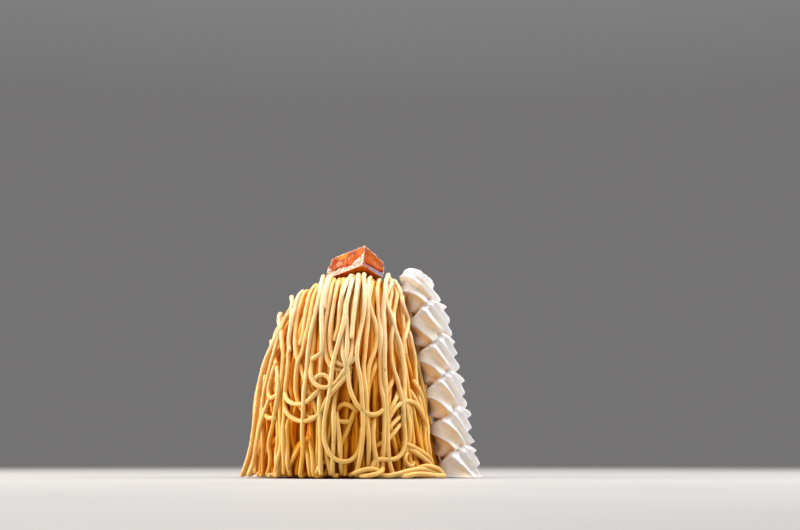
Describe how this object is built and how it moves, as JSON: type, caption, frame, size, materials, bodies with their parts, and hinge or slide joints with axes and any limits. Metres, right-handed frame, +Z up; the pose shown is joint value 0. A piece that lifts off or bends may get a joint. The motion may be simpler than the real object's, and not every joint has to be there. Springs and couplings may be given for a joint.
{
  "type": "chestnut cream cake",
  "caption": "Tall dome of thin piped paste strands with a leaning column of ridged piped cream beside it and a candied block on its crown.",
  "frame": {"origin": "on the surface the cake stands on, under the middle of the strand dome", "axes": "+Z up, +X towards the cream column, -Y towards the front that the picture shows"},
  "size_m": [0.0944, 0.0828, 0.0915],
  "materials": {
    "paste": "soft moist paste, warm yellow, satin",
    "cream": "smooth whipped cream, off-white, soft satin",
    "candied": "translucent amber candy with a frosted rim"
  },
  "bodies": {
    "root": {"paste_strands": "paste", "piped_cream": "cream", "candied_block": "candied"}
  },
  "joints": []
}
